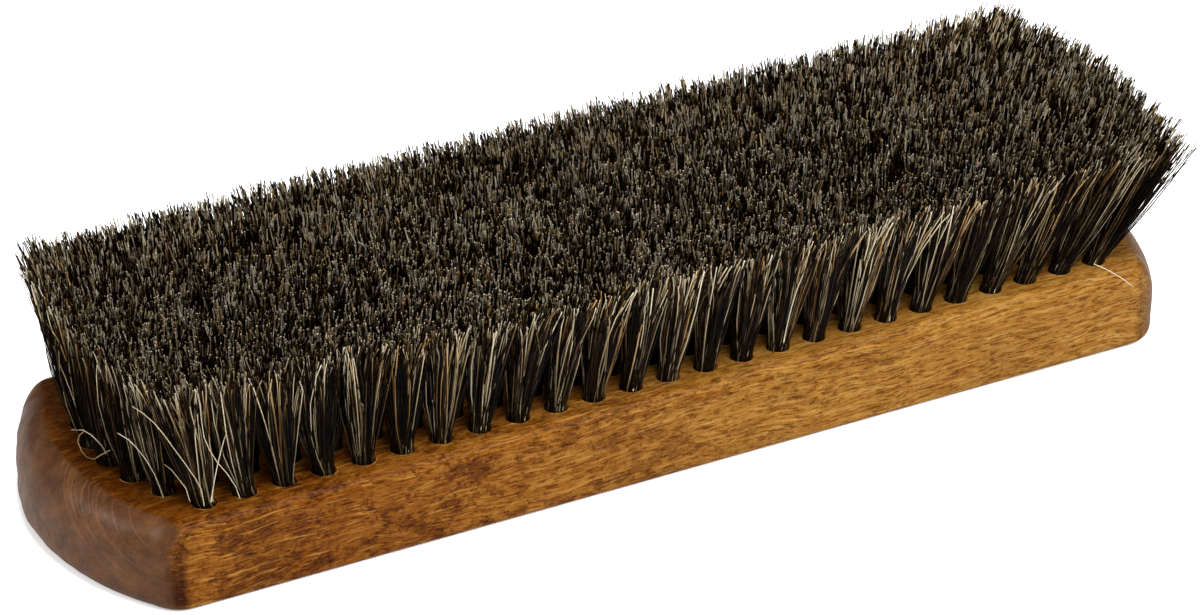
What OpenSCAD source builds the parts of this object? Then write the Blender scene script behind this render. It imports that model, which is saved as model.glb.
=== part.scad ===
// Shoe shine brush: a one-piece hardwood stock, drilled with blind bores that fan out towards
// its edges, and a tuft of horsehair held in every bore by a flat steel anchor.
// The brush lies on its back: X runs along it, Y across it and the hair points up.
// Millimetres throughout. The origin is the middle of the back's flat face.

/* [Stock] */
// Length of the stock over its bowed ends
stock_len = 200; // [175:1:250]
// Width of the stock
stock_w = 55; // [48:1:70]
// Thickness of the stock from its back to its drilled face
stock_h = 15; // [14:0.5:22]
// How far each end bows out past its corners
end_bow = 10; // [5:0.5:14]
// Radius of the four upright corners
corner_r = 7.5; // [6:0.5:10]
// Round along the long edges of the drilled face
face_round = 2; // [1:0.25:2.5]
// How far the round over each end of the drilled face runs in
end_round_run = 7; // [4:0.25:7]
// How far the round over each end of the drilled face drops
end_round_drop = 8.5; // [4:0.25:9]
// Round along the edges of the back
back_round = 3.5; // [1:0.25:5]

/* [Drilling] */
// Tufts in each row along the brush
tufts_along = 25; // [21:2:27]
// Rows of tufts across the brush
rows_across = 8; // [6:1:8]
// Diameter of a bore
bore_d = 3.9; // [3:0.1:4.7]
// Depth of a bore, from the drilled face down to its cone
bore_depth = 8.5; // [6:0.5:9]
// From the side of the stock to the middle of the outer row
side_margin = 5.5; // [4.8:0.1:8]
// From the end of the stock to the last tuft of a middle row
end_margin = 10.8; // [10:0.1:14]
// From the end of the stock to the last tuft of an outer row
corner_margin = 18.4; // [16:0.1:22]
// Lean of the outer rows, away from upright
side_lean = 11; // [0:0.5:13]
// Lean of the last tuft of a middle row
end_lean = 14; // [0:0.5:16]
// Lean of the last tuft of an outer row
corner_lean = 27; // [0:0.5:28]

/* [Hair] */
// Height of the trimmed hair above the drilled face
hair_h = 22.6; // [16:0.2:28]
// How far each tuft stands out of its bore before its hair spreads
neck_h = 1.6; // [1:0.1:3]
// Unevenness of the trimmed ends
trim_play = 0.7; // [0:0.1:1.2]
// Strands in a tuft of the outer ring
outer_strands = 3; // [2:1:3]
// Strands in every other tuft
inner_strands = 2; // [2:1:2]

/* [Anchors] */
// Thickness of an anchor plate
anchor_t = 0.4; // [0.3:0.05:0.6]
// Height of an anchor plate along its bore
anchor_h = 1.8; // [1.2:0.1:2.4]
// How far an anchor bites into the wood on each side of its bore
anchor_bite = 0.3; // [0.1:0.05:0.5]

/* [Clearances] */
// Between a tuft and the wall of its bore, all round
tuft_gap = 0.05; // [0.02:0.01:0.1]
// Round each face of an anchor
anchor_gap = 0.05; // [0.02:0.01:0.1]

/* [Hidden] */
$fn = 48;

wood_colour = "#a8672f";
hair_colour = "#4a3f33";
steel_colour = "#b9bcc0";

// The drilled face: where its tufts stand and how far they lean
side_y = stock_w / 2 - side_margin;
outer_run = stock_len / 2 - corner_margin;
inner_run = stock_len / 2 - end_margin;
row_pitch = 2 * side_y / (rows_across - 1);
tuft_pitch = 2 * outer_run / (tufts_along - 1);
cell = min(row_pitch, tuft_pitch);
mid_tuft = (tufts_along + 1) / 2;
mid_row = (rows_across + 1) / 2;

// The slice of the drilled face that carries the hair, let into the stock
slice_t = 1;
slice_rim = 0.65;
slice_y = side_y + bore_d / 2 + slice_rim;
slice_end = bore_d / 2 + slice_rim;
slice_steps = 12;

// The bores and what lies in them. The hair is folded under its anchor, in the end of the bore.
drill_web = 0.4;
drill_rise = 31;
cone_h = (bore_d - drill_web) / 2 * tan(drill_rise);
tuft_r = bore_d / 2 - tuft_gap;
fold_room = 1;
anchor_z = bore_depth - anchor_h - fold_room;

// A strand's half widths, across its facing and along it: shares of the tuft's radius at the
// root, and of a cell at the bend and at the trimmed end
root_share = [0.42, 0.26];
bend_share = [0.24, 0.14];
trim_share = [0.33, 0.19];
// How far the strands of a tuft stand from its middle line
root_spread = 0.45 * tuft_r;
trim_spread = 0.28 * cell;
bend_mix = 0.42;
// A strand starts inside the neck of its tuft and bends halfway up
root_rise = 0.3 * neck_h;
bend_rise = 0.5;
// A third strand makes all three slimmer across their facing
slim_share = 0.8;
// How unevenly the strands turn and spread
turn_play = 9;
spread_play = 0.02 * cell;

// The loft of the stock
arc_steps = 14;
corner_steps = 7;
round_steps = 7;

function row_name(i) = str("tuft_row_", i < 10 ? "0" : "", i);
function mix(a, b, t) = a + (b - a) * t;

// u runs from -1 to 1 along the brush and s from -1 to 1 across it
function along(i) = (i - mid_tuft) / (mid_tuft - 1);
function across(j) = (j - mid_row) / (mid_row - 1);
function run_at(s) = mix(inner_run, outer_run, s * s);
function face_point(u, s) = [u * run_at(s), s * side_y, stock_h];

// How far a tuft moves out for each millimetre that it rises
function slope_x(u, s) = u * u * u * tan(mix(end_lean, corner_lean, s * s));
function slope_y(s) = s * abs(s) * tan(side_lean);
function slope(u, s) = [slope_x(u, s), slope_y(s), 1];

// A size that varies from the long edges of the stock to its ends, by the way the edge faces
function by_facing(side, end, facing) = mix(side, end, facing * facing);

// One corner of the stock's outline as [x, y, facing x, facing y], from the middle of an end
// to the middle of a side
bow_r = (stock_w * stock_w / 4 + end_bow * end_bow) / (2 * end_bow);
bow_x = stock_len / 2 - bow_r;
corner_y = stock_w / 2 - corner_r;
corner_x = bow_x + sqrt(pow(bow_r - corner_r, 2) - corner_y * corner_y);
bow_angle = atan2(corner_y, corner_x - bow_x);

function bow_point(a) = [bow_x + bow_r * cos(a), bow_r * sin(a), cos(a), sin(a)];
function corner_point(a) = [corner_x + corner_r * cos(a), corner_y + corner_r * sin(a), cos(a), sin(a)];

quarter = concat(
    [for (k = [0:arc_steps / 2 - 1]) bow_point(bow_angle * k * 2 / arc_steps)],
    [for (k = [0:corner_steps]) corner_point(mix(bow_angle, 90, k / corner_steps))]
);
last = len(quarter) - 1;
outline = concat(
    quarter,
    [for (k = [last:-1:0]) mirror_xy(quarter[k], -1, 1)],
    [for (k = [1:last]) mirror_xy(quarter[k], -1, -1)],
    [for (k = [last:-1:1]) mirror_xy(quarter[k], 1, -1)]
);

function mirror_xy(p, mx, my) = [p[0] * mx, p[1] * my, p[2] * mx, p[3] * my];

// A ring of the stock, drawn in from its outline by the run of the round at angle a
function face_ring(a) = [
    for (p = outline)
    let (run = by_facing(face_round, end_round_run, p[2]) * (1 - cos(a)))
    let (drop = by_facing(face_round, end_round_drop, p[2]) * (1 - sin(a)))
    [p[0] - p[2] * run, p[1] - p[3] * run, stock_h - drop]
];
function back_ring(a) = [
    for (p = outline)
    let (run = back_round * (1 - cos(a)))
    [p[0] - p[2] * run, p[1] - p[3] * run, back_round * (1 - sin(a))]
];

// Triangles between stacked rings of n points that run anticlockwise seen from above
function wall_faces(n, levels) = [
    for (l = [0:levels - 2])
    for (k = [0:n - 1])
    let (a = l * n + k)
    let (b = l * n + (k + 1) % n)
    for (half = [0, 1])
    half == 0 ? [a, a + n, b + n] : [a, b + n, b]
];
function fan_faces(n, first, up) = [
    for (k = [1:n - 2])
    up ? [first, first + k + 1, first + k] : [first, first + k, first + k + 1]
];

module stacked_rings(rings) {
    n = len(rings[0]);
    levels = len(rings);
    polyhedron(
        points = [for (ring = rings) for (p = ring) p],
        faces = concat(
            fan_faces(n, 0, false),
            wall_faces(n, levels),
            fan_faces(n, (levels - 1) * n, true)
        ),
        convexity = 2
    );
}

module stock_blank() {
    stacked_rings(concat(
        [for (k = [0:round_steps - 1]) back_ring(90 - 90 * k / (round_steps - 1))],
        [for (k = [0:round_steps - 1]) face_ring(90 * k / (round_steps - 1))]
    ));
}

// Turns what stands upright at the origin to the lean of a bore, and sets it on the drilled face
module at_bore(u, s) {
    lean = slope(u, s);
    turn = atan2(lean[1], lean[0]);
    tip = atan(norm([lean[0], lean[1]]));
    translate(face_point(u, s))
        rotate([0, 0, turn])
            rotate([0, tip, 0])
                rotate([0, 0, -turn])
                    children();
}

// A bore ends in the cone of its drill, and runs on above the face so that it opens fully
module bore() {
    translate([0, 0, -bore_depth])
        cylinder(d = bore_d, h = bore_depth + bore_d / 2);
    translate([0, 0, -bore_depth - cone_h])
        cylinder(d1 = drill_web, d2 = bore_d, h = cone_h);
}

module anchor_plate(gap) {
    size = [bore_d + 2 * anchor_bite, anchor_t, anchor_h] + 2 * gap * [1, 1, 1];
    translate([0, 0, -anchor_z - anchor_h / 2])
        cube(size, center = true);
}

// Edge of a slice as seen from above, at place u along the brush and pushed out by extra
function slice_edge(u, extra) = [
    for (k = [0:slice_steps])
    let (y = slice_y * (2 * k / slice_steps - 1))
    [u * run_at(y / side_y) + extra, y]
];
function reversed(list) = [for (k = [len(list) - 1:-1:0]) list[k]];

module slice_between(from_u, from_extra, to_u, to_extra, depth) {
    translate([0, 0, stock_h - slice_t])
        linear_extrude(height = depth)
            polygon(concat(
                slice_edge(to_u, to_extra),
                reversed(slice_edge(from_u, from_extra))
            ));
}

// The slice for one row, from halfway to the row before it to halfway to the row after it
module row_slice(i) {
    first = i == 1;
    final = i == tufts_along;
    slice_between(
        first ? -1 : along(i - 0.5), first ? -slice_end : 0,
        final ? 1 : along(i + 0.5), final ? slice_end : 0,
        slice_t
    );
}

// The outer bores of the rows before and after row i, which can reach over its slanting edges
module outer_bores_beside(i) {
    for (n = [max(i - 1, 1), min(i + 1, tufts_along)], j = [1, rows_across])
        if (n != i)
            at_bore(along(n), across(j))
                bore();
}

// Strands. A tuft's numbers come from its place in one quarter of the brush, so that the four
// quarters of the hair are mirror images.
function side_of(t) = t < 0 ? -1 : 1;
function place_seed(i, j) = 1000 + 40 * abs(2 * i - 2 * mid_tuft) + abs(2 * j - 2 * mid_row);
function is_outer(i, j) = i == 1 || i == tufts_along || j == 1 || j == rows_across;

function strand_ring(centre, half, slim, facing) = [
    for (k = [0:3])
    let (r = k % 2 == 0 ? half[1] : half[0] * slim)
    centre + r * [cos(facing + 90 * k), sin(facing + 90 * k), 0]
];

// Middle line of a strand at height z over the face, spread from its tuft's own line
function strand_at(i, j, z, spread, facing) =
    face_point(along(i), across(j))
    + slope(along(i), across(j)) * z
    + spread * [cos(facing), sin(facing), 0];

module strand(i, j, k, count) {
    play = rands(-1, 1, 3, place_seed(i, j) + 7 * k);
    paired = count == 2;
    turn = paired ? 45 + 90 * (floor(abs(i - mid_tuft)) % 2) : 90;
    first_facing = turn + 360 * k / count + turn_play * play[0];
    facing = atan2(
        sin(first_facing) * side_of(across(j)),
        cos(first_facing) * side_of(along(i))
    );
    spread = trim_spread + spread_play * play[1];
    top = hair_h - trim_play * abs(play[2]);
    slim = paired ? 1 : slim_share;
    root_ring = strand_ring(strand_at(i, j, root_rise, root_spread, facing),
        root_share * tuft_r, slim, facing);
    bend_ring = strand_ring(
        strand_at(i, j, bend_rise * top, mix(root_spread, spread, bend_mix), facing),
        bend_share * cell, slim, facing);
    trim_ring = strand_ring(strand_at(i, j, top, spread, facing),
        trim_share * cell, slim, facing);
    stacked_rings(paired ? [root_ring, trim_ring] : [root_ring, bend_ring, trim_ring]);
}

// The folded root of a tuft fills its bore down to the cone, and its neck stands out of it
module tuft_root(u, s) {
    at_bore(u, s)
        difference() {
            translate([0, 0, -bore_depth])
                cylinder(r = tuft_r, h = bore_depth + neck_h);
            anchor_plate(anchor_gap);
        }
}

module stock() {
    color(wood_colour)
        difference() {
            stock_blank();
            slice_between(-1, -slice_end, 1, slice_end, slice_t + 1);
            for (i = [1:tufts_along], j = [1:rows_across])
                at_bore(along(i), across(j)) {
                    bore();
                    anchor_plate(0);
                }
        }
}

module tuft_row(i) {
    color(hair_colour)
        union() {
            difference() {
                row_slice(i);
                outer_bores_beside(i);
            }
            for (j = [1:rows_across]) {
                count = is_outer(i, j) ? outer_strands : inner_strands;
                tuft_root(along(i), across(j));
                for (k = [0:count - 1])
                    strand(i, j, k, count);
            }
        }
}

module tuft_anchors() {
    color(steel_colour)
        for (i = [1:tufts_along], j = [1:rows_across])
            at_bore(along(i), across(j))
                anchor_plate(0);
}

stock();
for (i = [1:tufts_along])
    tuft_row(i);
tuft_anchors();
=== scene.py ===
import math

import bmesh
import bpy
import numpy as np
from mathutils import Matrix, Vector, noise
from mathutils.kdtree import KDTree


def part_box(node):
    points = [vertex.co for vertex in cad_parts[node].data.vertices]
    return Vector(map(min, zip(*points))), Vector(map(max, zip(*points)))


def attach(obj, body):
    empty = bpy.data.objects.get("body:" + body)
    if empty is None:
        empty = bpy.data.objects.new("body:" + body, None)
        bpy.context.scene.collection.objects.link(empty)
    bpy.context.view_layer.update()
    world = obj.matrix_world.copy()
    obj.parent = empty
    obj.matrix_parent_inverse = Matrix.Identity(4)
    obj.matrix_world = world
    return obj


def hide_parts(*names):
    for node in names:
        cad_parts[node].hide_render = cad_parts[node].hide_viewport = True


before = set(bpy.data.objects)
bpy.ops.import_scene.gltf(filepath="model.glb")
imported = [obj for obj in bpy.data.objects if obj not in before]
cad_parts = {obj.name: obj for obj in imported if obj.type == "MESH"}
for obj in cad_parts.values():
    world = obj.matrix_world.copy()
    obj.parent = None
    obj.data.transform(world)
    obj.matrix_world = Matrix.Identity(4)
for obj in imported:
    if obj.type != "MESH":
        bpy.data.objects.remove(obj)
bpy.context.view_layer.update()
scene = bpy.context.scene
mm = 0.001
print("frame loaded")


# Material helpers

def startMaterial(name):
    material = bpy.data.materials.new(name)
    material.use_nodes = True
    tree = material.node_tree
    shader = tree.nodes["Principled BSDF"]
    return material, tree, shader


def addNode(tree, kind, settings=None, **inputs):
    node = tree.nodes.new(kind)
    for key, value in (settings or {}).items():
        setattr(node, key, value)
    for key, value in inputs.items():
        socket = node.inputs[int(key[1:])] if key[0] == "i" and key[1:].isdigit() else node.inputs[key]
        if isinstance(value, bpy.types.NodeSocket):
            tree.links.new(value, socket)
        else:
            socket.default_value = value
    return node


def addRamp(tree, factor, stops):
    node = addNode(tree, "ShaderNodeValToRGB", Fac=factor)
    ramp = node.color_ramp
    while len(ramp.elements) < len(stops):
        ramp.elements.new(0.5)
    for element, (place, colour) in zip(ramp.elements, stops):
        element.position = place
        element.color = (*colour, 1) if isinstance(colour, tuple) else (colour, colour, colour, 1)
    return node.outputs["Color"]


def mixColour(tree, factor, first, second, blend="MIX"):
    node = tree.nodes.new("ShaderNodeMix")
    node.data_type = "RGBA"
    node.blend_type = blend
    for socket, value in zip((node.inputs[0], node.inputs[6], node.inputs[7]), (factor, first, second)):
        if isinstance(value, bpy.types.NodeSocket):
            tree.links.new(value, socket)
        else:
            socket.default_value = (*value, 1) if isinstance(value, tuple) else value
    return node.outputs[2]


def stretchedNoise(tree, vector, scale, shift=(0, 0, 0), detail=4, rough=0.5):
    mapping = addNode(tree, "ShaderNodeMapping", Vector=vector, Scale=scale, Location=shift)
    return addNode(tree, "ShaderNodeTexNoise", Vector=mapping.outputs[0], Scale=1,
                   Detail=detail, Roughness=rough).outputs[0]


def combine(tree, how, first, second, third=0.5):
    return addNode(tree, "ShaderNodeMath", {"operation": how}, i0=first, i1=second, i2=third).outputs[0]


def remap(tree, value, low, high, newLow=0, newHigh=1):
    return addNode(tree, "ShaderNodeMapRange", i0=value, i1=low, i2=high, i3=newLow, i4=newHigh).outputs[0]


def swing(tree, value, reach):
    # A noise moved so that it swings about zero
    return combine(tree, "MULTIPLY_ADD", value, reach, -reach / 2)


def finishPiece(piece, slotName, *nodes):
    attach(piece, "root")
    if nodes:
        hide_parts(*nodes)


# Where the tufts stand, the same as in the drilled stock

drilling = {
    "tuftsAlong": 25,
    "rowsAcross": 8,
    "boreRadius": 1.95 * mm,
    "boreDepth": 8.5 * mm,
    "coneDepth": 1 * mm,
    "coneTip": 0.3 * mm,  # radius of the small flat that the cone ends in
    "sideMargin": 5.5 * mm,
    "endMargin": 10.8 * mm,
    "cornerMargin": 18.4 * mm,
    "sideLean": math.radians(11),
    "endLean": math.radians(14),
    "cornerLean": math.radians(27),
}
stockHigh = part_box("stock")[1]
sideY = stockHigh.y - drilling["sideMargin"]
midTuft = (drilling["tuftsAlong"] + 1) / 2
midRow = (drilling["rowsAcross"] + 1) / 2


def mix(a, b, t):
    return a + (b - a) * t


def alongAt(i):
    return (i - midTuft) / (midTuft - 1)


def acrossAt(j):
    return (j - midRow) / (midRow - 1)


def runAt(s):
    return stockHigh.x - mix(drilling["endMargin"], drilling["cornerMargin"], s * s)


def facePoint(u, s):
    return Vector((u * runAt(s), s * sideY, stockHigh.z))


def leanAt(u, s):
    leanX = u ** 3 * math.tan(mix(drilling["endLean"], drilling["cornerLean"], s * s))
    leanY = s * abs(s) * math.tan(drilling["sideLean"])
    return Vector((leanX, leanY, 1))


tuftPlaces = [(i, j) for i in range(1, drilling["tuftsAlong"] + 1)
              for j in range(1, drilling["rowsAcross"] + 1)]


# Stock: stained beech, varnished

stock = {
    "endBow": 10 * mm,
    "cornerRadius": 7.5 * mm,
    "faceRound": 2.5 * mm,
    "endRoundRun": 7 * mm,
    "endRoundDrop": (8.5 * mm, 10.5 * mm),  # left end, right end
    "backRound": 1.2 * mm,
    "endBackRound": (3.5 * mm, 2 * mm),  # left end, right end
    "bowSteps": 36,
    "cornerSteps": 16,
    "sideCuts": 60,
    "roundSteps": 12,
    "wallSteps": 8,
    "flatRim": 0.35 * mm,  # flat band that keeps the light even between the round and the drilled face
    "boreSides": 20,
    "lipRun": 0.35 * mm,  # the drill leaves a small raised lip round each bore
    "lipHeight": 0.05 * mm,
    "lipScale": 900,
    "gougeSize": 5.2 * mm,  # spacing of the tool marks at the ends
    "gougeDepth": 0.22 * mm,
    "gougeRim": 0.6,  # how sharp the ridges between the tool marks are
    "gougeFrom": 0.35,  # the tool marks start where the side has turned this far to the end
    "rightMarks": 0.35,  # how deep the marks of the right end are beside those of the left one
    "lumps": 0.2 * mm,  # unevenness of the ends
    "lumpScale": 140,
    "waver": 0.07 * mm,  # sanding waver of the sides
    "waverScale": (70, 70, 110),
    "edgeWaver": 0.1,  # how much the rounds vary along their edges
    "edgeWaverScale": 85,
    "markFade": (2 * mm, 1 * mm),  # the marks fade over this at the back and at the drilled face
    "tiltShare": 0.9,  # how much more end grain shows where the ends turn up
}
bowRadius = (stockHigh.y ** 2 + stock["endBow"] ** 2) / (2 * stock["endBow"])
bowX = stockHigh.x - bowRadius
cornerY = stockHigh.y - stock["cornerRadius"]
cornerX = bowX + math.sqrt((bowRadius - stock["cornerRadius"]) ** 2 - cornerY ** 2)
bowAngle = math.atan2(cornerY, cornerX - bowX)


def facingAt(x, y):
    ax, ay = abs(x), abs(y)
    if ax <= cornerX:
        facing = Vector((0, 1))
    elif math.atan2(ay, ax - bowX) <= bowAngle + 1e-6:
        facing = Vector((ax - bowX, ay)).normalized()
    else:
        facing = Vector((ax - cornerX, ay - cornerY)).normalized()
    return Vector((math.copysign(facing.x, x), math.copysign(facing.y, y)))


def toolMarks(x, y, z, facing):
    # Shallow gouge marks over the ends, and a faint waver everywhere
    spot = Vector((x, y, z))
    marks = stock["waver"] * noise.noise(spot * Vector(stock["waverScale"]))
    endShare = max(0, (abs(facing.x) - stock["gougeFrom"]) / (1 - stock["gougeFrom"]))
    if x > 0:
        endShare *= stock["rightMarks"]
    near = noise.voronoi(spot / stock["gougeSize"])[0]
    ridge = min((near[1] - near[0]) / stock["gougeRim"], 1)
    marks += endShare * stock["gougeDepth"] * (ridge - 1)
    marks += endShare * stock["lumps"] * noise.noise(spot * stock["lumpScale"])
    return marks


def buildStock():
    bm = bmesh.new()
    baseX = bm.verts.layers.float.new("baseX")
    baseY = bm.verts.layers.float.new("baseY")
    boreNumber = bm.verts.layers.int.new("boreNumber")

    # A quarter of the outline by two spins and a straight run, then mirrored twice
    start = bmesh.ops.create_vert(bm, co=(stockHigh.x, 0, 0))["vert"]
    end = bmesh.ops.spin(bm, geom=start, cent=(bowX, 0, 0), axis=(0, 0, 1), angle=bowAngle,
                         steps=stock["bowSteps"], use_duplicate=False)["geom_last"]
    end = bmesh.ops.spin(bm, geom=end, cent=(cornerX, cornerY, 0), axis=(0, 0, 1),
                         angle=math.pi / 2 - bowAngle, steps=stock["cornerSteps"],
                         use_duplicate=False)["geom_last"]
    run = bmesh.ops.extrude_vert_indiv(bm, verts=[v for v in end if isinstance(v, bmesh.types.BMVert)])
    run["verts"][0].co.x = 0
    bmesh.ops.subdivide_edges(bm, edges=run["edges"], cuts=stock["sideCuts"] // 2)
    for axis in "XY":
        bmesh.ops.mirror(bm, geom=bm.verts[:] + bm.edges[:], axis=axis, merge_dist=1e-6)
    bmesh.ops.remove_doubles(bm, verts=bm.verts, dist=1e-6)
    for v in bm.verts:
        v[baseX], v[baseY] = v.co.x, v.co.y

    # The sizes of the rounds, by where a point of the outline faces
    def backRound(facing):
        return mix(stock["backRound"], stock["endBackRound"][facing.x > 0], facing.x ** 2)

    def faceRun(facing):
        return mix(stock["faceRound"], stock["endRoundRun"], facing.x ** 2)

    def faceDrop(facing):
        return mix(stock["faceRound"], stock["endRoundDrop"][facing.x > 0], facing.x ** 2)

    def placeRing(verts, inset, height):
        scale = stock["edgeWaverScale"]
        fadeBack, fadeFace = stock["markFade"]
        for v in verts:
            facing = facingAt(v[baseX], v[baseY])
            waver = 1 + stock["edgeWaver"] * noise.noise(Vector((v[baseX] * scale, v[baseY] * scale, 5)))
            run, z = inset(facing) * waver, height(facing)
            v.co = (v[baseX] - facing.x * run, v[baseY] - facing.y * run, z)
            shift = toolMarks(*v.co, facing) * min(1, z / fadeBack, (stockHigh.z - z) / fadeFace)
            v.co.x += facing.x * shift
            v.co.y += facing.y * shift

    # From the back up: its round, the wall, the round to the drilled face and a narrow flat rim
    rings = []
    for k in range(stock["roundSteps"]):
        angle = math.pi / 2 * (1 - k / stock["roundSteps"])
        rings.append((lambda facing, part=1 - math.cos(angle): backRound(facing) * part,
                      lambda facing, part=1 - math.sin(angle): backRound(facing) * part))
    for k in range(stock["wallSteps"]):
        rings.append((lambda facing: 0, lambda facing, part=k / stock["wallSteps"]:
                      mix(backRound(facing), stockHigh.z - faceDrop(facing), part)))
    for k in range(stock["roundSteps"] + 1):
        angle = math.pi / 2 * k / stock["roundSteps"]
        rings.append((lambda facing, part=1 - math.cos(angle): faceRun(facing) * part,
                      lambda facing, part=1 - math.sin(angle): stockHigh.z - faceDrop(facing) * part))
    rings.append((lambda facing: faceRun(facing) + stock["flatRim"], lambda facing: stockHigh.z))

    loop = bm.edges[:]
    placeRing(bm.verts, *rings[0])
    backLoop = loop
    for ring in rings[1:]:
        grown = bmesh.ops.extrude_edge_only(bm, edges=loop)["geom"]
        loop = [e for e in grown if isinstance(e, bmesh.types.BMEdge) and len(e.link_faces) == 1]
        placeRing([v for v in grown if isinstance(v, bmesh.types.BMVert)], *ring)
    for face in bm.faces:
        face.smooth = True

    # The back, and the drilled face with its bore mouths
    back = bmesh.ops.triangle_fill(bm, edges=backLoop, use_beauty=True, use_dissolve=False)["geom"]
    mouthLoops = []
    for number, (i, j) in enumerate(tuftPlaces):
        circle = bmesh.ops.create_circle(bm, cap_ends=False, segments=stock["boreSides"],
                                         radius=drilling["boreRadius"] + stock["lipRun"])["verts"]
        bmesh.ops.translate(bm, verts=circle, vec=facePoint(alongAt(i), acrossAt(j)))
        for v in circle:
            v[boreNumber] = number + 1
        mouthLoops += list({e for v in circle for e in v.link_edges})
    top = bmesh.ops.triangle_fill(bm, edges=loop + mouthLoops, use_beauty=True, use_dissolve=False)["geom"]
    for face in back + top:
        if isinstance(face, bmesh.types.BMFace):
            face.smooth = False

    # Each bore has its lip and goes down along its own lean to the drill's cone
    rim = [(drilling["boreRadius"] + stock["lipRun"] / 3, -stock["lipHeight"]),
           (drilling["boreRadius"], stock["lipHeight"]),
           (drilling["boreRadius"], drilling["boreDepth"]),
           (drilling["coneTip"], drilling["boreDepth"] + drilling["coneDepth"])]
    mouths = mouthLoops
    for radius, depth in rim:
        grown = bmesh.ops.extrude_edge_only(bm, edges=mouths)["geom"]
        mouths = [e for e in grown if isinstance(e, bmesh.types.BMEdge) and len(e.link_faces) == 1]
        for v in grown:
            if isinstance(v, bmesh.types.BMVert):
                i, j = tuftPlaces[v[boreNumber] - 1]
                centre = facePoint(alongAt(i), acrossAt(j))
                lean = leanAt(alongAt(i), acrossAt(j))
                outward = (v.co - centre - lean * (v.co.z - centre.z)).xy.normalized()
                spot = centre - lean * depth
                if depth < 0:
                    spot += lean * depth * noise.noise(v.co * stock["lipScale"])
                v.co = spot + Vector((outward.x, outward.y, 0)) * radius
    bmesh.ops.holes_fill(bm, edges=mouths, sides=stock["boreSides"])
    for face in bm.faces:
        if face.calc_center_median().z < stockHigh.z - 0.01 * mm and any(v[boreNumber] for v in face.verts):
            face.smooth = True
    bmesh.ops.recalc_face_normals(bm, faces=bm.faces)

    mesh = bpy.data.meshes.new("beech_stock")
    bm.to_mesh(mesh)
    bm.free()
    piece = bpy.data.objects.new("beech_stock", mesh)
    scene.collection.objects.link(piece)

    # How much of the end grain shows at each point, and where the upright corners are, for the stain
    normals = np.zeros(len(mesh.vertices) * 3, np.float32)
    mesh.vertex_normals.foreach_get("vector", normals)
    inBore = np.zeros(len(mesh.vertices), np.int32)
    mesh.attributes["boreNumber"].data.foreach_get("value", inBore)
    along, across, upward = np.abs(normals.reshape(-1, 3)).T
    endGrain = np.where(inBore > 0, 0, along * (1 + stock["tiltShare"] * upward))
    corner = np.where(inBore > 0, 0, 2 * along * across)
    for name, values in (("endGrain", endGrain), ("corner", corner)):
        attribute = mesh.attributes.new(name, "FLOAT", "POINT")
        attribute.data.foreach_set("value", values.astype(np.float32))
    for spare in ("baseX", "baseY", "boreNumber"):
        mesh.attributes.remove(mesh.attributes[spare])
    return piece


beech = {
    "pale": (0.56, 0.330, 0.098),
    "gold": (0.42, 0.200, 0.038),
    "tan": (0.29, 0.110, 0.015),
    "brown": (0.200, 0.074, 0.012),
    "fleck": (0.44, 0.30, 0.15),  # darkens what lies under it by this much
    "burn": (0.20, 0.11, 0.02),
    "endDark": (0.044, 0.016, 0.005),
    "endLight": (0.108, 0.045, 0.016),
    "ring": (0.24, 0.100, 0.036),
    "lip": (0.30, 0.140, 0.040),
    # How the wood's colour changes from the left end to the right one; the lighter stop at 0.085 is a
    # painted highlight beside the left corner
    "sweep": [(0.0, (0.42, 0.32, 0.15)), (0.085, (0.46, 0.34, 0.16)), (0.11, (0.36, 0.25, 0.10)),
              (0.20, (0.36, 0.24, 0.10)), (0.34, (0.48, 0.38, 0.22)), (0.57, (0.59, 0.57, 0.45)),
              (0.85, (0.60, 0.59, 0.50)), (1.0, (0.62, 0.61, 0.57))],
    "stainShare": [(0.0, 0.75), (0.12, 0.9), (0.32, 1.0), (0.55, 0.50), (0.75, 0.32), (1.0, 0.28)],
    "burnShare": [(0.0, 1.0), (0.4, 0.8), (0.9, 0.50), (1.0, 0.50)],
    "faceShade": (0.62, 0.50, 0.34),  # darkens the left end of the drilled face by this much
    "shadeAlong": (26 * mm, 12 * mm),  # that shade starts and is full so far from the left end
    "shadeDepth": (1.4 * mm, 0.1 * mm),  # and so far under the drilled face
    "cornerFrom": 5 * mm,  # the upright corners are darkest up to here
    "cornerTop": 0.35,  # and keep this share of it at the drilled face
    "lipRise": (0.01 * mm, 0.06 * mm),
    # Noise scales per metre, along, across and up
    "grainScale": (95, 1700, 1700),
    "patchScale": (60, 110, 110),
    "mottleScale": (420, 520, 520),
    "fleckScale": (400, 3300, 3300),
    "speckScale": (1300, 3300, 3300),
    "lineScale": (40, 2000, 2000),
    "glossScale": (120, 900, 900),
    "roughScale": (260, 260, 260),
    "poreScale": (1500, 1500, 1500),
    "ringScale": (10, 14, 380),
    "ringTilt": (-0.5, 0.0, 0.0),
    "wander": 6 * mm,  # sets how far the grain strays up, down and sideways
    "bump": 0.3 * mm,
}


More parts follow.
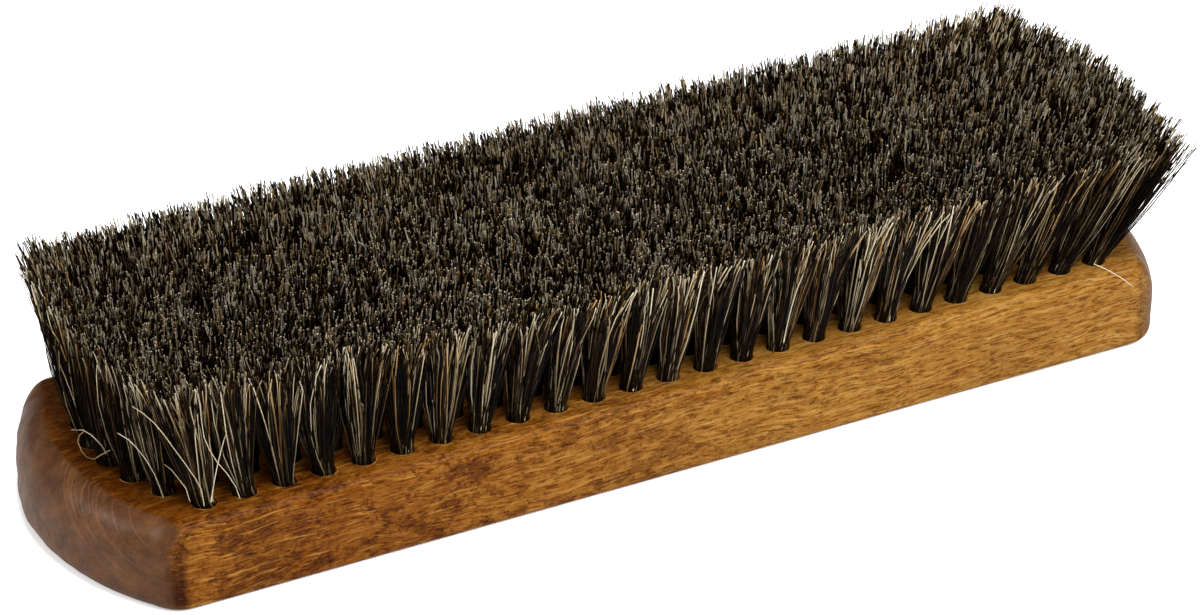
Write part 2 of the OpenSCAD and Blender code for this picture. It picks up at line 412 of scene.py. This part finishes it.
def beechMaterial():
    material, tree, shader = startMaterial("stained_beech")
    place = addNode(tree, "ShaderNodeTexCoord").outputs["Object"]
    parts = addNode(tree, "ShaderNodeSeparateXYZ", Vector=place)
    sweep = remap(tree, parts.outputs[0], -stockHigh.x, stockHigh.x)

    # The grain wanders up and down as it runs along the brush
    wander = addNode(tree, "ShaderNodeTexNoise", Vector=place, Scale=34, Detail=3)
    centred = addNode(tree, "ShaderNodeVectorMath", {"operation": "SUBTRACT"},
                      i0=wander.outputs[1], i1=(0.5, 0.5, 0.5))
    bent = addNode(tree, "ShaderNodeVectorMath", {"operation": "MULTIPLY_ADD"},
                   i0=centred.outputs[0], i1=(0, beech["wander"], beech["wander"]), i2=place)
    grainPlace = bent.outputs[0]

    streaks = stretchedNoise(tree, grainPlace, beech["grainScale"], detail=5, rough=0.62)
    colour = addRamp(tree, streaks, [(0.32, beech["tan"]), (0.50, beech["gold"]), (0.68, beech["pale"])])

    # Stain that took deeper: small mottles, crowded in patches left of the middle
    patches = stretchedNoise(tree, place, beech["patchScale"], (3, 1, 7), detail=3)
    mottles = stretchedNoise(tree, place, beech["mottleScale"], (6, 2, 9), detail=6, rough=0.78)
    crowding = swing(tree, patches, 0.6)
    stain = addRamp(tree, combine(tree, "ADD", mottles, crowding), [(0.47, 0.0), (0.60, 1.0)])
    stain = combine(tree, "MULTIPLY", stain, addRamp(tree, sweep, beech["stainShare"]))
    colour = mixColour(tree, stain, colour, beech["brown"])
    # The wood's colour from left to right, with a painted highlight in a narrow band beside the left corner
    colour = mixColour(tree, 1.0, colour, addRamp(tree, sweep, beech["sweep"]), "MULTIPLY")

    # Short dark flecks along the grain, finer specks in the stained patches, a few pale lines
    flecks = stretchedNoise(tree, grainPlace, beech["fleckScale"], (11, 4, 2), detail=3, rough=0.6)
    specks = stretchedNoise(tree, grainPlace, beech["speckScale"], (1, 14, 3), detail=2, rough=0.6)
    fleckShare = combine(tree, "MULTIPLY_ADD", stain, 0.10, 0.90)
    fleckMask = combine(tree, "MULTIPLY", addRamp(tree, flecks, [(0.51, 0.0), (0.60, 1.0)]), fleckShare)
    speckShare = combine(tree, "MULTIPLY_ADD", stain, 0.6, 0.3)
    speckMask = combine(tree, "MULTIPLY", addRamp(tree, specks, [(0.53, 0.0), (0.62, 1.0)]), speckShare)
    colour = mixColour(tree, fleckMask, colour, beech["fleck"], "MULTIPLY")
    colour = mixColour(tree, speckMask, colour, beech["fleck"], "MULTIPLY")
    lines = stretchedNoise(tree, grainPlace, beech["lineScale"], (5, 9, 1), detail=3)
    colour = mixColour(tree, addRamp(tree, lines, [(0.60, 0.0), (0.68, 0.45)]), colour, beech["gold"])

    # The drilled face is darker towards its left end
    onFace = remap(tree, parts.outputs[2], *[stockHigh.z - depth for depth in beech["shadeDepth"]])
    nearEnd = remap(tree, parts.outputs[0], *[run - stockHigh.x for run in beech["shadeAlong"]])
    faceShade = combine(tree, "MULTIPLY", onFace, nearEnd)
    colour = mixColour(tree, faceShade, colour, beech["faceShade"], "MULTIPLY")

    # End grain drinks the stain: dark at the upright corners, then brown with rings across it
    endGrain = addNode(tree, "ShaderNodeAttribute", {"attribute_name": "endGrain"}).outputs["Fac"]
    rough = stretchedNoise(tree, place, beech["roughScale"], (8, 3, 5), detail=5, rough=0.65)
    reach = combine(tree, "ADD", endGrain, swing(tree, rough, 0.24))
    burnShare = addRamp(tree, sweep, beech["burnShare"])
    corner = addNode(tree, "ShaderNodeAttribute", {"attribute_name": "corner"}).outputs["Fac"]
    burnReach = combine(tree, "ADD", corner, swing(tree, rough, 0.6))
    burnMask = combine(tree, "MULTIPLY", addRamp(tree, burnReach, [(0.12, 0.0), (0.45, 1.0)]), burnShare)
    lower = remap(tree, parts.outputs[2], beech["cornerFrom"], stockHigh.z, 1, beech["cornerTop"])
    burnMask = combine(tree, "MULTIPLY", burnMask, lower)
    colour = mixColour(tree, burnMask, colour, beech["burn"], "MULTIPLY")
    tilted = addNode(tree, "ShaderNodeMapping", Vector=place, Rotation=beech["ringTilt"]).outputs[0]
    rings = stretchedNoise(tree, tilted, beech["ringScale"], (2, 2, 2), detail=2, rough=0.4)
    ringGap = combine(tree, "ABSOLUTE", combine(tree, "SUBTRACT", rings, 0.5), 0)
    ringShare = addRamp(tree, patches, [(0.42, 0.05), (0.60, 0.34)])
    pores = stretchedNoise(tree, place, beech["poreScale"], (4, 4, 4), detail=2)
    endTone = combine(tree, "ADD", rough, swing(tree, pores, 0.26))
    endColour = addRamp(tree, endTone, [(0.32, beech["endDark"]), (0.74, beech["endLight"])])
    ringMask = combine(tree, "MULTIPLY", addRamp(tree, ringGap, [(0.0, 1.0), (0.012, 0.0)]), ringShare)
    endColour = mixColour(tree, ringMask, endColour, beech["ring"])
    endMask = combine(tree, "MULTIPLY", addRamp(tree, reach, [(0.40, 0.0), (0.68, 1.0)]), burnShare)
    colour = mixColour(tree, endMask, colour, endColour)

    # Raw wood shows in places where the drill lifted it
    lip = remap(tree, parts.outputs[2], *[stockHigh.z + rise for rise in beech["lipRise"]])
    lip = combine(tree, "MULTIPLY", lip, addRamp(tree, rough, [(0.46, 0.0), (0.60, 1.0)]))
    colour = mixColour(tree, lip, colour, beech["lip"])
    tree.links.new(colour, shader.inputs["Base Color"])

    # Satin varnish over open grain
    gloss = stretchedNoise(tree, grainPlace, beech["glossScale"], (1, 6, 3), detail=3)
    tree.links.new(remap(tree, gloss, 0.3, 0.7, 0.40, 0.56), shader.inputs["Roughness"])
    relief = combine(tree, "ADD", streaks, flecks)
    bump = addNode(tree, "ShaderNodeBump", Strength=0.3, Distance=beech["bump"], Height=relief)
    tree.links.new(bump.outputs[0], shader.inputs["Normal"])
    varnish = combine(tree, "MULTIPLY_ADD", endMask, 0.13, 0.04)  # glossier on the end grain
    tree.links.new(varnish, shader.inputs["Coat Weight"])
    shader.inputs["Coat Roughness"].default_value = 0.34
    shader.inputs["Specular IOR Level"].default_value = 0.03
    return material


beechPiece = buildStock()
beechPiece.data.materials.append(beechMaterial())
finishPiece(beechPiece, "stained_beech", "stock")
print("stock built:", len(beechPiece.data.polygons), "faces")


# Hair

hair = {
    "height": 22.6 * mm,
    # The outer tufts are seen at full length, the inner ones by their tips; steps are where a hair's
    # points are along it, and thickness is half of a hair's at the bore
    "outer": {"count": 400, "steps": [0, 0.16, 0.36, 0.66, 0.9, 1.0], "thickness": 0.104 * mm,
              "jitter": 0.95 * mm, "bend": 0.6 * mm, "clumpTone": 0.10},
    "inner": {"count": 275, "steps": [0, 0.5, 0.89, 1.0], "thickness": 0.116 * mm,
              "jitter": 0.55 * mm, "bend": 0.4 * mm, "clumpTone": 0.20},
    "seed": 500,
    "rootDepth": 5.2 * mm,
    "rootPack": 0.9,  # how far the hairs of a tuft draw together at their roots
    "packRadius": 1.66 * mm,
    "turnPlay": 0.25,
    "neck": (0.2 * mm, 1.2 * mm),  # how far a hair stands straight out of its bore
    "thicknessPlay": (0.75, 1.25),
    "tipShare": 0.85,
    "fillShare": 0.97,  # how much of its cell a tuft fills at the top
    "tipBend": 0.22 * mm,  # over the last tenth of a hair
    "clumps": 24,  # hairs of a tuft hang together in so many locks
    "clumpPull": (0.10, 0.55),
    "clumpHeight": 0.25 * mm,
    "trimWaves": 0.4 * mm,
    "waveScale": 160,
    "trimFall": 0.95 * mm,  # how far short of the trim a hair typically stops
    "trimOver": 0.45 * mm,
    "shortShare": 0.6,
    "shortCut": (0.58, 0.97),
    "goldenAngle": math.pi * (3 - math.sqrt(5)),
    "leftReach": (90.0 * mm, 0, -4.0 * mm),  # last tufts at the trim: middle row, slope and bow of the rest
    "rightReach": (96.5 * mm, 1.6 * mm, -3.6 * mm),
    "frontEase": 0.25,  # the front half leans out less towards the left end
    "easeRun": 0.6,
    "backEase": 1.22,  # and the back half leans out more
    "straightness": (0.35, 0.9),  # how soon a hair leaves its bore's lean for its tip: middle, ends
}


def makeProfile():
    # Three-sided section that every hair is swept with
    curve = bpy.data.curves.new("hairSection", "CURVE")
    curve.dimensions = "2D"
    spline = curve.splines.new("POLY")
    spline.points.add(2)
    for k, point in enumerate(spline.points):
        angle = 2 * math.pi * k / 3
        point.co = (math.cos(angle), math.sin(angle), 0, 1)
    spline.use_cyclic_u = True
    section = bpy.data.objects.new("hairSection", curve)
    scene.collection.objects.link(section)
    return section


def islandNumbers(mesh):
    # Numbers each separate hair of a mesh from 0, in the order of its first vertex
    ends = np.zeros(len(mesh.edges) * 2, np.int32)
    mesh.edges.foreach_get("vertices", ends)
    first, second = ends.reshape(-1, 2).T
    lowest = np.arange(len(mesh.vertices))
    while True:
        before = lowest.copy()
        np.minimum.at(lowest, first, lowest[second])
        np.minimum.at(lowest, second, lowest[first])
        if (before == lowest).all():
            break
    return np.unique(lowest, return_inverse=True)[1]


def sweepHairs(name, hairs):
    # hairs is a list of (points, half thicknesses, tone); each becomes a closed three-sided tube
    curve = bpy.data.curves.new(name, "CURVE")
    curve.dimensions = "3D"
    curve.twist_mode = "MINIMUM"
    curve.bevel_mode = "OBJECT"
    curve.bevel_object = hairSection
    curve.use_fill_caps = True
    for points, radii, tone in hairs:
        spline = curve.splines.new("POLY")
        spline.points.add(len(points) - 1)
        spline.points.foreach_set("co", np.column_stack((points, np.ones(len(points)))).ravel())
        spline.points.foreach_set("radius", radii)
        spline.use_smooth = True
    swept = bpy.data.objects.new(name, curve)
    scene.collection.objects.link(swept)
    mesh = bpy.data.meshes.new_from_object(swept.evaluated_get(bpy.context.evaluated_depsgraph_get()))
    bpy.data.objects.remove(swept)
    bpy.data.curves.remove(curve)
    mesh.name = name
    mesh.materials.clear()

    bm = bmesh.new()
    bm.from_mesh(mesh)
    bmesh.ops.remove_doubles(bm, verts=bm.verts, dist=1e-7)
    bm.to_mesh(mesh)
    bm.free()

    # Each hair takes the tone of the one that was asked for nearest to its place
    numbers = islandNumbers(mesh)
    places = np.zeros(len(mesh.vertices) * 3, np.float32)
    mesh.vertices.foreach_get("co", places)
    count = np.bincount(numbers)
    found = np.column_stack([np.bincount(numbers, axis) / count for axis in places.reshape(-1, 3).T])
    asked = np.array([points.mean(0) for points, radii, tone in hairs])
    tree = KDTree(len(asked))
    for number, point in enumerate(asked):
        tree.insert(point, number)
    tree.balance()
    tones = np.array([hairs[tree.find(point)[1]][2] for point in found], np.float32)
    mesh.attributes.new("hairTone", "FLOAT", "POINT").data.foreach_set("value", tones[numbers])
    piece = bpy.data.objects.new(name, mesh)
    scene.collection.objects.link(piece)
    return piece


def topCentre(i, j):
    # Where the middle of a tuft is at the trimmed surface; years of use have pushed the ends over
    u, s = alongAt(i), acrossAt(j)
    centre, slope, bow = hair["leftReach"] if u < 0 else hair["rightReach"]
    x = u * runAt(s) + u * u * u * (centre + slope * s + bow * s * s - runAt(s))
    ease = min(1, mix(hair["frontEase"], 1, (u + 1) / hair["easeRun"])) if s < 0 else hair["backEase"]
    y = s * sideY + leanAt(u, s).y * hair["height"] * ease
    return np.array([x, y])


def cellHalf(i, j):
    # Half the room that a tuft has at the trimmed surface, along and across
    last, rows = drilling["tuftsAlong"], drilling["rowsAcross"]
    left, right = max(i - 1, 1), min(i + 1, last)
    near, far = max(j - 1, 1), min(j + 1, rows)
    along = (topCentre(right, j) - topCentre(left, j))[0] / (2 * (right - left))
    across = (topCentre(i, far) - topCentre(i, near))[1] / (2 * (far - near))
    return np.array([along, across])


def arc(start, control, finish, t):
    # Quadratic curve through start and finish that leaves start towards control
    t = t[:, None]
    return (1 - t) ** 2 * start + 2 * t * (1 - t) * control + t ** 2 * finish


def tuftHairs(i, j, rng):
    u, s = alongAt(i), acrossAt(j)
    outward = np.array([int(u), int(s)])  # 0 but at the outer tufts
    kind = hair["outer" if outward.any() else "inner"]
    count, steps = kind["count"], np.array(kind["steps"])
    base, lean = np.array(facePoint(u, s)), np.array(leanAt(u, s))
    middle = topCentre(i, j) - base[:2]
    half = cellHalf(i, j) * hair["fillShare"]
    straight = mix(*hair["straightness"], u ** 4)
    clumpSpots = rng.uniform(-1, 1, (hair["clumps"], 2)) * half
    clumpTones = rng.uniform(-1, 1, hair["clumps"]) * kind["clumpTone"]
    clumpTops = rng.normal(0, hair["clumpHeight"], hair["clumps"])
    hairs = []
    for k in range(count):
        share = math.sqrt((k + 0.5) / count)
        turn = k * hair["goldenAngle"] + rng.normal(0, hair["turnPlay"])
        way = np.array([math.cos(turn), math.sin(turn)])
        mouth = way * share * hair["packRadius"]
        spot = way / np.abs(way).max() * share * half + rng.normal(0, kind["jitter"], 2)
        clump = np.argmin(((clumpSpots - spot) ** 2).sum(1))
        spot += (clumpSpots[clump] - spot) * rng.uniform(*hair["clumpPull"])
        finish = middle + spot
        x, y = base[:2] + finish
        waves = noise.noise(Vector((x * hair["waveScale"], y * hair["waveScale"], 3))) * hair["trimWaves"]
        rise = waves + clumpTops[clump] - abs(rng.normal(0, hair["trimFall"]))
        top = hair["height"] + min(rise, hair["trimOver"])
        isShort = rng.random() < hair["shortShare"] * share * max(0, way @ outward)
        t = steps * (rng.uniform(*hair["shortCut"]) if isShort else 1)
        neck = rng.uniform(*hair["neck"])
        start = mouth + lean[:2] * neck
        control = start + mix(lean[:2] * hair["height"] / 2, (finish - start) / 2, straight)
        across = arc(start, control, finish, t)
        across += np.sin(np.pi * t)[:, None] * rng.normal(0, kind["bend"], 2)
        across[-1] += rng.normal(0, hair["tipBend"], 2)
        points = np.column_stack((across, neck + t * (top - neck))) + base
        root = base - lean * hair["rootDepth"] + np.append(mouth * hair["rootPack"], 0)
        points = np.vstack((root, points))
        radii = np.interp(np.r_[0, t], [0, 1], [1, hair["tipShare"]])
        radii *= kind["thickness"] * rng.uniform(*hair["thicknessPlay"])
        tone = min(max(rng.random() + clumpTones[clump], 0), 1)
        hairs.append((points, radii, tone))
    return hairs


hairSection = makeProfile()

horsehair = {
    "tones": [
        (0.00, (0.0008, 0.0004, 0.0002)),
        (0.36, (0.0036, 0.0018, 0.0007)),
        (0.50, (0.013, 0.0064, 0.0022)),
        (0.62, (0.044, 0.022, 0.008)),
        (0.69, (0.150, 0.096, 0.044)),
        (0.75, (0.400, 0.320, 0.200)),
        (0.82, (0.740, 0.650, 0.480)),
        (1.00, (0.940, 0.890, 0.740)),
    ],
    "chestnut": (1.0, 0.74, 0.44),  # tint of about one hair in five
    "chestnutShare": [(0.76, 0.0), (0.84, 1.0)],
    # Painted shade: darker in the depth of the brush, most of all among the inner tufts. Lighter at the
    # tips: the tips are worn pale, and part of it is painted light
    "outerPaintedShade": [(0.0, (0.34, 0.31, 0.26)), (0.4, (0.50, 0.46, 0.39)), (0.75, (0.68, 0.63, 0.54)),
                   (0.92, (0.80, 0.76, 0.68)), (1.0, (1.0, 0.96, 0.88))],
    "innerPaintedShade": [(0.5, 0.10), (0.80, 0.22), (0.90, 0.72), (0.97, (1.0, 0.94, 0.85))],
    # Lighter tone towards the tips: worn pale tips, and partly painted light
    "tipWearAndLight": [(0.62, 0.0), (0.88, 0.08), (0.95, 0.14), (1.0, 0.20)],
    "root": (0.055, 0.038, 0.020),
    "rootShare": [(0.0, 0.35), (0.3, 0.0)],
    "toneShare": 0.84,
    # The inner painted shade starts so far in from the ends and out from the side rows, and comes in over
    # the fade
    "innerFrom": (13 * mm, 2 * mm),
    "innerFade": 4 * mm,
    "mottleScale": 420,
    "specular": 0.05,
    "strayTones": [
        (0.00, (0.210, 0.125, 0.045)),
        (0.40, (0.330, 0.250, 0.135)),
        (1.00, (0.620, 0.560, 0.430)),
    ],
}


def hairMaterial(name, tones, isBundled):
    material, tree, shader = startMaterial(name)
    place = addNode(tree, "ShaderNodeTexCoord").outputs["Object"]
    parts = addNode(tree, "ShaderNodeSeparateXYZ", Vector=place)
    tone = addNode(tree, "ShaderNodeAttribute", {"attribute_name": "hairTone"}).outputs["Fac"]
    mottle = addNode(tree, "ShaderNodeTexNoise", Vector=place, Scale=horsehair["mottleScale"],
                     Detail=2).outputs[0]
    varied = combine(tree, "ADD", tone, swing(tree, mottle, 0.16))
    if isBundled:
        rise = remap(tree, parts.outputs[2], stockHigh.z, stockHigh.z + hair["height"])
        # Tips lighter in tone: partly worn, partly painted light
        tipWearAndLight = addRamp(tree, rise, horsehair["tipWearAndLight"])
        colour = addRamp(tree, combine(tree, "MULTIPLY_ADD", varied, horsehair["toneShare"], tipWearAndLight), tones)
        second = combine(tree, "FRACT", combine(tree, "MULTIPLY", tone, 57), 0)  # as good as a second draw
        chestnut = addRamp(tree, second, horsehair["chestnutShare"])
        colour = mixColour(tree, chestnut, colour, horsehair["chestnut"], "MULTIPLY")
        colour = mixColour(tree, addRamp(tree, rise, horsehair["rootShare"]), colour, horsehair["root"])
        # Painted shade by height, much deeper among the inner tufts than among the outer ones
        fromEnd, pastRow = horsehair["innerFrom"]
        inside = [remap(tree, combine(tree, "ABSOLUTE", parts.outputs[axis], 0),
                        edge, edge - horsehair["innerFade"])
                  for axis, edge in enumerate((stockHigh.x - fromEnd, sideY + pastRow))]
        buried = combine(tree, "MINIMUM", *inside)
        shade = mixColour(tree, buried, addRamp(tree, rise, horsehair["outerPaintedShade"]),
                          addRamp(tree, rise, horsehair["innerPaintedShade"]))
        colour = mixColour(tree, 1.0, colour, shade, "MULTIPLY")
    else:
        colour = addRamp(tree, varied, tones)
    tree.links.new(colour, shader.inputs["Base Color"])
    tree.links.new(remap(tree, mottle, 0.3, 0.7, 0.40, 0.55), shader.inputs["Roughness"])
    shader.inputs["Specular IOR Level"].default_value = horsehair["specular"]
    return material


horsehairMaterial = hairMaterial("horsehair", horsehair["tones"], True)
for i in range(1, drilling["tuftsAlong"] + 1):
    rowRng = np.random.default_rng(hair["seed"] + i)
    rowHairs = [h for j in range(1, drilling["rowsAcross"] + 1) for h in tuftHairs(i, j, rowRng)]
    row = sweepHairs(f"hair_row_{i:02d}", rowHairs)
    row.data.materials.append(horsehairMaterial)
    finishPiece(row, "horsehair", f"tuft_row_{i:02d}")
    print("hair row", i, len(row.data.polygons), "faces")


# Stray hairs: pale ones across the outer tufts, and some single ones that stand out in the photograph

strays = {
    "thickness": 0.11 * mm,
    "tipShare": 0.75,
    "perTuft": 4,
    "seed": 77,
    "steps": 7,
    "startShare": 0.9,  # how far out in its tuft's root a stray stands
    "top": (7 * mm, 21.5 * mm),
    "spread": 2.4 * mm,
    "outward": (-1.5 * mm, 0.3 * mm),
    "droop": 0.2,
    "tones": (0.4, 1),
    # The single ones, in mm, each with its tone, its half thickness and its points
    "routes": {
        "arc": (0.75, 0.100, [(-90.3, 8.3, 15.1), (-92.4, -1.6, 20.6), (-92.4, -4.9, 21.3),
                              (-91.5, -5.4, 20.1), (-90.9, -5.9, 19.0), (-90.5, -5.6, 17.8)]),
        "loop": (0.15, 0.100, [(-92.3, -11.6, 22.0), (-91.5, -6.8, 18.7), (-91.5, -3.3, 16.0),
                               (-92.0, -1.5, 15.6), (-92.8, -1.5, 17.0), (-92.6, 0.3, 17.7),
                               (-92.3, 0.1, 18.8), (-92.4, -1.9, 20.5)]),
        "bow": (0.90, 0.095, [(-86.2, -17.5, 14.2), (-87.0, -17.9, 16.9), (-87.9, -18.1, 19.8),
                              (-89.2, -18.1, 22.7), (-90.3, -17.5, 24.7), (-91.5, -17.2, 26.4),
                              (-91.2, -12.4, 25.1)]),
        "crossing": (0.60, 0.085, [(-82.7, -24.5, 16.0), (-83.5, -25.5, 19.6), (-84.9, -26.6, 22.5),
                                   (-86.2, -25.7, 25.2), (-87.7, -25.1, 28.0), (-89.1, -25.2, 30.6),
                                   (-90.3, -24.5, 32.6), (-90.8, -21.6, 33.0), (-91.6, -19.5, 33.4)]),
        "wave": (0.70, 0.090, [(-76.6, -24.2, 15.4), (-77.6, -25.1, 18.2), (-79.3, -25.9, 21.4),
                               (-81.0, -26.2, 24.0), (-82.6, -27.0, 27.1), (-83.3, -26.8, 29.4),
                               (-83.6, -26.9, 32.0), (-83.8, -27.0, 34.6), (-84.1, -27.2, 37.2)]),
        "short": (0.55, 0.085, [(-84.3, -22.8, 16.4), (-85.6, -24.5, 19.9), (-86.3, -23.5, 21.3),
                                (-87.0, -22.6, 22.6), (-86.5, -18.8, 21.5)]),
        "lying": (1.00, 0.075, [(80.6, -23.7, 15.4), (81.6, -26.3, 15.2), (82.8, -28.9, 14.5),
                                (83.8, -30.9, 13.5)]),
    },
}


def strayHairs():
    rng = np.random.default_rng(strays["seed"])
    hairs = []
    steps = np.linspace(0, 1, strays["steps"])
    for i, j in tuftPlaces:
        isSide, isEnd = j in (1, drilling["rowsAcross"]), i in (1, drilling["tuftsAlong"])
        if not (isSide or isEnd):
            continue
        base = np.array(facePoint(alongAt(i), acrossAt(j)))
        outward = np.array([np.sign(base[0]) * isEnd, np.sign(base[1]) * isSide])
        for k in range(strays["perTuft"]):
            turn = rng.uniform(0, 2 * math.pi)
            start = np.array([math.cos(turn), math.sin(turn)]) * hair["packRadius"] * strays["startShare"]
            top = rng.uniform(*strays["top"])
            finish = start + rng.normal(0, strays["spread"], 2) * top / hair["height"]
            finish += outward * rng.uniform(*strays["outward"])
            finish += (topCentre(i, j) - base[:2]) * top / hair["height"]
            lean = np.array(leanAt(alongAt(i), acrossAt(j)))[:2]
            straight = mix(*hair["straightness"], alongAt(i) ** 4)
            control = start + mix(lean * top / 2, (finish - start) / 2, straight)
            across = arc(start, control, finish, steps)
            rise = steps * (1 - strays["droop"] * steps ** 2 * rng.random())
            points = np.column_stack((across, rise * top)) + base
            radii = strays["thickness"] * np.linspace(1, strays["tipShare"], len(steps))
            hairs.append((points, radii, rng.uniform(*strays["tones"])))
    for tone, thickness, route in strays["routes"].values():
        points = np.array(route) * mm
        hairs.append((points, np.full(len(points), thickness * mm), tone))
    return hairs


strayPiece = sweepHairs("stray_hairs", strayHairs())
strayPiece.data.materials.append(hairMaterial("stray_horsehair", horsehair["strayTones"], False))
finishPiece(strayPiece, "horsehair")
print("stray hairs", len(strayPiece.data.polygons), "faces")


# Anchors stay as the CAD has them, in bright rolled steel

steel = {
    "dark": (0.42, 0.42, 0.43),
    "light": (0.58, 0.58, 0.60),
    "rollScale": (200, 4000, 4000),
}


def steelMaterial():
    material, tree, shader = startMaterial("anchor_steel")
    place = addNode(tree, "ShaderNodeTexCoord").outputs["Object"]
    rolled = stretchedNoise(tree, place, steel["rollScale"], detail=3)
    colour = addRamp(tree, rolled, [(0.3, steel["dark"]), (0.7, steel["light"])])
    tree.links.new(colour, shader.inputs["Base Color"])
    tree.links.new(remap(tree, rolled, 0.3, 0.7, 0.28, 0.42), shader.inputs["Roughness"])
    shader.inputs["Metallic"].default_value = 1
    return material


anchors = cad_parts["tuft_anchors"]
anchors.data.materials.clear()
anchors.data.materials.append(steelMaterial())
bpy.data.objects.remove(hairSection)


# Studio: white floor, soft light, the photograph's camera

studio = {
    "azimuth": math.radians(-29.1),
    "elevation": math.radians(28.3),
    "lens": 151.79,
    "distance": 831.9 * mm,
    "targetRight": -0.13 * mm,
    "targetUp": 15.09 * mm,
    "worldLight": 0.18,
    "floorSize": 3,
    "floorTones": (0.93, 0.95),
    "floorGlow": 0.36,  # only the camera sees it; it brings the floor to white and leaves the shadow
    "lampAim": (0, 0, 20 * mm),
}


def buildStudio():
    a, e = studio["azimuth"], studio["elevation"]
    right = Vector((math.cos(a), math.sin(a), 0))
    back = Vector((math.sin(a) * math.cos(e), -math.cos(a) * math.cos(e), math.sin(e)))
    up = back.cross(right)
    camera = bpy.data.cameras.new("camera")
    camera.lens = studio["lens"]
    camera.sensor_width = 36
    camera.clip_start = 0.05
    camera.clip_end = 20
    cameraObject = bpy.data.objects.new("camera", camera)
    scene.collection.objects.link(cameraObject)
    target = right * studio["targetRight"] + up * studio["targetUp"]
    cameraObject.location = target + back * studio["distance"]
    cameraObject.rotation_mode = "QUATERNION"
    cameraObject.rotation_quaternion = (-back).to_track_quat("-Z", "Y")
    scene.camera = cameraObject

    bpy.ops.mesh.primitive_plane_add(size=studio["floorSize"])
    floor = bpy.context.object
    floor.name = "floor"
    material, tree, shader = startMaterial("pale_floor")
    grain = addNode(tree, "ShaderNodeTexNoise", Scale=6, Detail=2,
                    Vector=addNode(tree, "ShaderNodeTexCoord").outputs["Object"]).outputs[0]
    darker, lighter = studio["floorTones"]
    tree.links.new(addRamp(tree, grain, [(0.3, darker), (0.7, lighter)]), shader.inputs["Base Color"])
    shader.inputs["Roughness"].default_value = 0.9
    shader.inputs["Specular IOR Level"].default_value = 0.1
    cameraRay = addNode(tree, "ShaderNodeLightPath").outputs["Is Camera Ray"]
    glow = combine(tree, "MULTIPLY", cameraRay, studio["floorGlow"])
    tree.links.new(glow, shader.inputs["Emission Strength"])
    shader.inputs["Emission Color"].default_value = (1, 1, 1, 1)
    floor.data.materials.append(material)

    world = bpy.data.worlds.new("studio")
    scene.world = world
    world.use_nodes = True
    tree = world.node_tree
    shell = tree.nodes["Background"]
    shell.inputs["Color"].default_value = (1, 1, 1, 1)
    cameraRay = addNode(tree, "ShaderNodeLightPath").outputs["Is Camera Ray"]
    tree.links.new(remap(tree, cameraRay, 0, 1, studio["worldLight"], 1), shell.inputs["Strength"])


# Place, size and watts of each soft box
lamps = {
    "keyBox": ((-0.05, -0.55, 0.95), (0.5, 0.4), 12.5),
    "lowBox": ((-0.20, -0.80, 0.45), (0.4, 0.3), 2.0),
    "rightBox": ((0.55, -0.55, 0.80), (0.4, 0.35), 6.0),
    "topBox": ((0.05, 0.10, 1.05), (0.6, 0.5), 4.5),
    "leftBox": ((-0.80, 0.35, 0.40), (0.4, 0.3), 4.5),
}


def addLamp(name, place, size, watts):
    lamp = bpy.data.lights.new(name, "AREA")
    lamp.shape = "RECTANGLE"
    lamp.size, lamp.size_y = size
    lamp.energy = watts
    lampObject = bpy.data.objects.new(name, lamp)
    scene.collection.objects.link(lampObject)
    lampObject.location = place
    way = Vector(studio["lampAim"]) - Vector(place)
    lampObject.rotation_euler = way.to_track_quat("-Z", "Y").to_euler()


buildStudio()
for name, (place, size, watts) in lamps.items():
    addLamp(name, place, size, watts)
scene.view_settings.view_transform = "Standard"
print("studio set")
